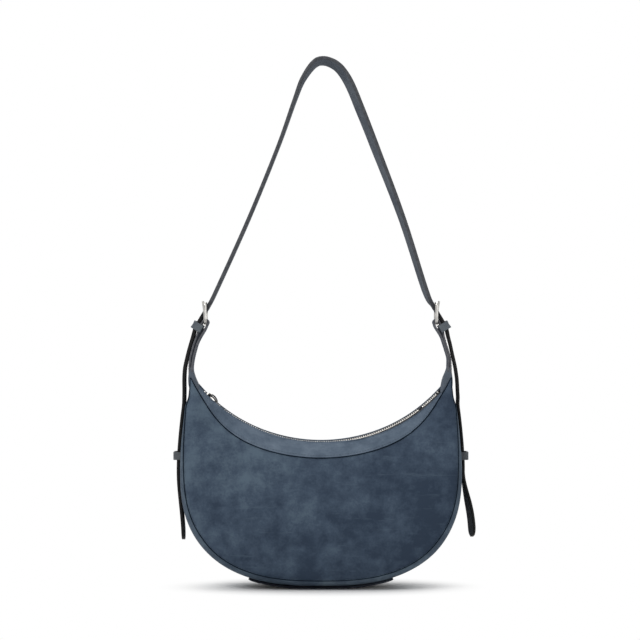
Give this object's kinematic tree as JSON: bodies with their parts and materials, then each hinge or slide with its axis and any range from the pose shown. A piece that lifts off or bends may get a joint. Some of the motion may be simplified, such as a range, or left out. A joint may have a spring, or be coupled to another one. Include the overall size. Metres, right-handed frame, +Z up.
{
  "type": "half moon shoulder bag",
  "caption": "Half moon shoulder bag of blue nubuck leather with a curved metal zip, two buckles and a long strap whose ends hang down the sides.",
  "frame": {"origin": "centre of the base patch's underside, on the floor", "axes": "+X to the right along the zip as the front is seen, -Y towards the front panel, +Z up"},
  "size_m": [0.3348, 0.1014, 0.5931],
  "materials": {
    "nubuck": "napped",
    "nubuck_light": "napped",
    "seam": "matte",
    "strap": "napped",
    "strap_dark": "matte",
    "base_leather": "matte",
    "tape": "woven",
    "nickel": "polished",
    "gunmetal": "satin",
    "lining": "woven",
    "board": "matte"
  },
  "bodies": {
    "bag": {"front_panel": "nubuck", "back_panel": "nubuck", "gusset": "nubuck_light", "front_piping": "seam", "back_piping": "seam", "front_seam": "seam", "back_seam": "seam", "front_band": "nubuck_light", "back_band": "nubuck_light", "zip_end_left": "nickel", "zip_end_right": "nickel", "lining": "lining", "base_board": "board", "base_patch": "base_leather", "neck_left": "nubuck", "neck_right": "nubuck", "tail_left": "strap_dark", "tail_right": "strap_dark", "side_loop_left": "nubuck_light", "side_loop_right": "nubuck_light"},
    "front_mouth": {"front_lip": "nubuck_light", "front_tape": "tape", "front_teeth": "nickel"},
    "back_mouth": {"back_lip": "nubuck_light", "back_tape": "tape", "back_teeth": "nickel"},
    "slider": {"zip_slider": "nickel"},
    "puller": {"zip_puller": "gunmetal"},
    "strap": {"tab_left": "nubuck", "tab_right": "nubuck", "keeper_left": "nubuck", "keeper_right": "nubuck", "strap_arch": "strap", "strap_end_left": "strap", "strap_end_right": "strap"},
    "left_buckle": {"frame_left": "nickel"},
    "right_buckle": {"frame_right": "nickel"},
    "left_tongue": {"prong_left": "nickel"},
    "right_tongue": {"prong_right": "nickel"}
  },
  "joints": [
    {"name": "front_mouth_open", "type": "hinge", "parent": "bag", "child": "front_mouth", "pos_m": [0, 0, 0.218], "axis": [-1, 0, 0], "range_deg": [0, 25]},
    {"name": "back_mouth_open", "type": "hinge", "parent": "bag", "child": "back_mouth", "pos_m": [0, 0, 0.218], "axis": [1, 0, 0], "range_deg": [0, 25]},
    {"name": "zip_slide", "type": "hinge", "parent": "bag", "child": "slider", "pos_m": [0, 0, 0.3425], "axis": [0, -1, 0], "range_deg": [0, 86.4]},
    {"name": "puller_flip", "type": "hinge", "parent": "slider", "child": "puller", "pos_m": [-0.12401, -0.00147, 0.21483], "axis": [-0.2341, -0.9397, -0.2493], "range_deg": [0, 100]},
    {"name": "strap_swing", "type": "hinge", "parent": "bag", "child": "strap", "pos_m": [0, 0, 0.252], "axis": [1, 0, 0], "range_deg": [-90, 90]},
    {"name": "left_buckle_tilt", "type": "hinge", "parent": "strap", "child": "left_buckle", "pos_m": [-0.129, 0, 0.2958], "axis": [0, -1, 0], "range_deg": [0, 8]},
    {"name": "right_buckle_tilt", "type": "hinge", "parent": "strap", "child": "right_buckle", "pos_m": [0.129, 0, 0.2958], "axis": [0, 1, 0], "range_deg": [0, 8]},
    {"name": "left_prong_lift", "type": "hinge", "parent": "left_buckle", "child": "left_tongue", "pos_m": [-0.129, 0, 0.2958], "axis": [0, -1, 0], "range_deg": [0, 12]},
    {"name": "right_prong_lift", "type": "hinge", "parent": "right_buckle", "child": "right_tongue", "pos_m": [0.129, 0, 0.2958], "axis": [0, 1, 0], "range_deg": [0, 12]}
  ]
}
